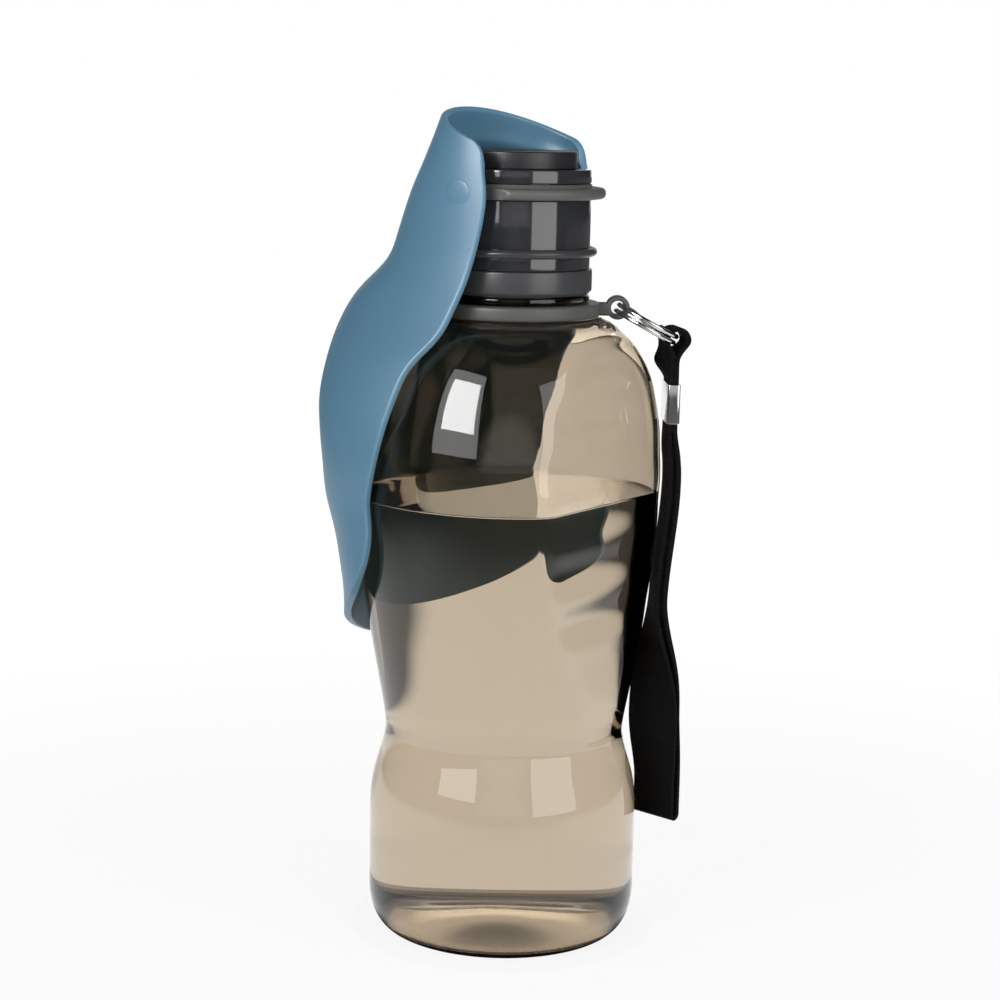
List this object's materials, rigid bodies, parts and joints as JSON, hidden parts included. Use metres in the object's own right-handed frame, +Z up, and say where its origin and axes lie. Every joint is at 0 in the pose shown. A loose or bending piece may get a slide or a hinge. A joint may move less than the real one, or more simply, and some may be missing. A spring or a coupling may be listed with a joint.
{
  "type": "dog travel water bottle",
  "caption": "Travel water bottle with a tinted body, a waist and finger grip, a pull-up spout, a wrist strap and a leaf-shaped trough that flips out on a swivelling ring.",
  "frame": {"origin": "centre of the flat ring that the bottle stands on", "axes": "+Z up along the bottle; the folded trough hangs on the -Y side, the finger grip faces +Y, and the trough turns about an axis along X"},
  "size_m": [0.0938, 0.106, 0.2446],
  "materials": {
    "bottle_plastic": "clear, smoke tint",
    "trough_plastic": "matte steel blue",
    "cap_gloss": "glossy dark grey",
    "cap_satin": "satin dark grey",
    "spout_black": "matte black",
    "ring_grey": "matte warm grey",
    "strap_ring_grey": "matte warm grey elastomer",
    "seal_rubber": "semi-gloss dark grey",
    "clear_seal": "translucent white silicone",
    "guide_plastic": "natural white",
    "webbing": "black woven webbing",
    "steel": "polished nickel-plated steel"
  },
  "bodies": {
    "bottle": {"bottle": "bottle_plastic"},
    "gasket": {"neck_gasket": "clear_seal"},
    "insert": {"spout_guide": "guide_plastic"},
    "cap": {"cap_drum": "cap_gloss", "screw_collar": "cap_satin", "seal_bead": "seal_rubber", "cap_collar": "cap_gloss"},
    "spout": {"pull_spout": "spout_black", "spout_oring": "seal_rubber"},
    "swivel": {"hinge_ring": "ring_grey"},
    "leaf": {"trough": "trough_plastic", "hinge_pins": "trough_plastic"},
    "neck_ring": {"strap_ring": "strap_ring_grey"},
    "key_ring": {"split_ring": "steel"},
    "strap": {"wrist_strap": "webbing", "strap_crimp": "steel"}
  },
  "joints": [
    {"name": "cap_lift", "type": "slide", "parent": "bottle", "child": "gasket", "axis": [0, 0, 1], "range_m": [0, 0.045]},
    {"name": "cap_rise", "type": "slide", "parent": "gasket", "child": "insert", "axis": [0, 0, 1], "range_m": [0, 0.0061]},
    {"name": "cap_unscrew", "type": "hinge", "parent": "insert", "child": "cap", "pos_m": [0, 0, 0.2], "axis": [0, 0, 1], "range_deg": [0, 720]},
    {"name": "spout_pull", "type": "slide", "parent": "insert", "child": "spout", "axis": [0, 0, 1], "range_m": [0, 0.004]},
    {"name": "ring_swivel", "type": "hinge", "parent": "insert", "child": "swivel", "pos_m": [0, 0, 0.2203], "axis": [0, 0, 1], "range_deg": [-25, 25]},
    {"name": "trough_flip", "type": "hinge", "parent": "swivel", "child": "leaf", "pos_m": [0, 0, 0.2203], "axis": [-1, 0, 0], "range_deg": [0, 130]},
    {"name": "strap_swivel", "type": "hinge", "parent": "bottle", "child": "neck_ring", "pos_m": [0, 0, 0.1867], "axis": [0, 0, 1], "range_deg": [-30, 10]},
    {"name": "split_ring_swing", "type": "hinge", "parent": "neck_ring", "child": "key_ring", "pos_m": [-0.01842, 0.02444, 0.1872], "axis": [0.7986, 0.6018, 0], "range_deg": [0, 60]},
    {"name": "strap_swing", "type": "hinge", "parent": "key_ring", "child": "strap", "pos_m": [-0.02872, 0.03812, 0.17809], "axis": [0.7986, 0.6018, 0], "range_deg": [0, 75]}
  ],
  "couplings": [
    {"joint": "cap_rise", "follows": "cap_unscrew", "m_per_rad": 0.00047746}
  ]
}
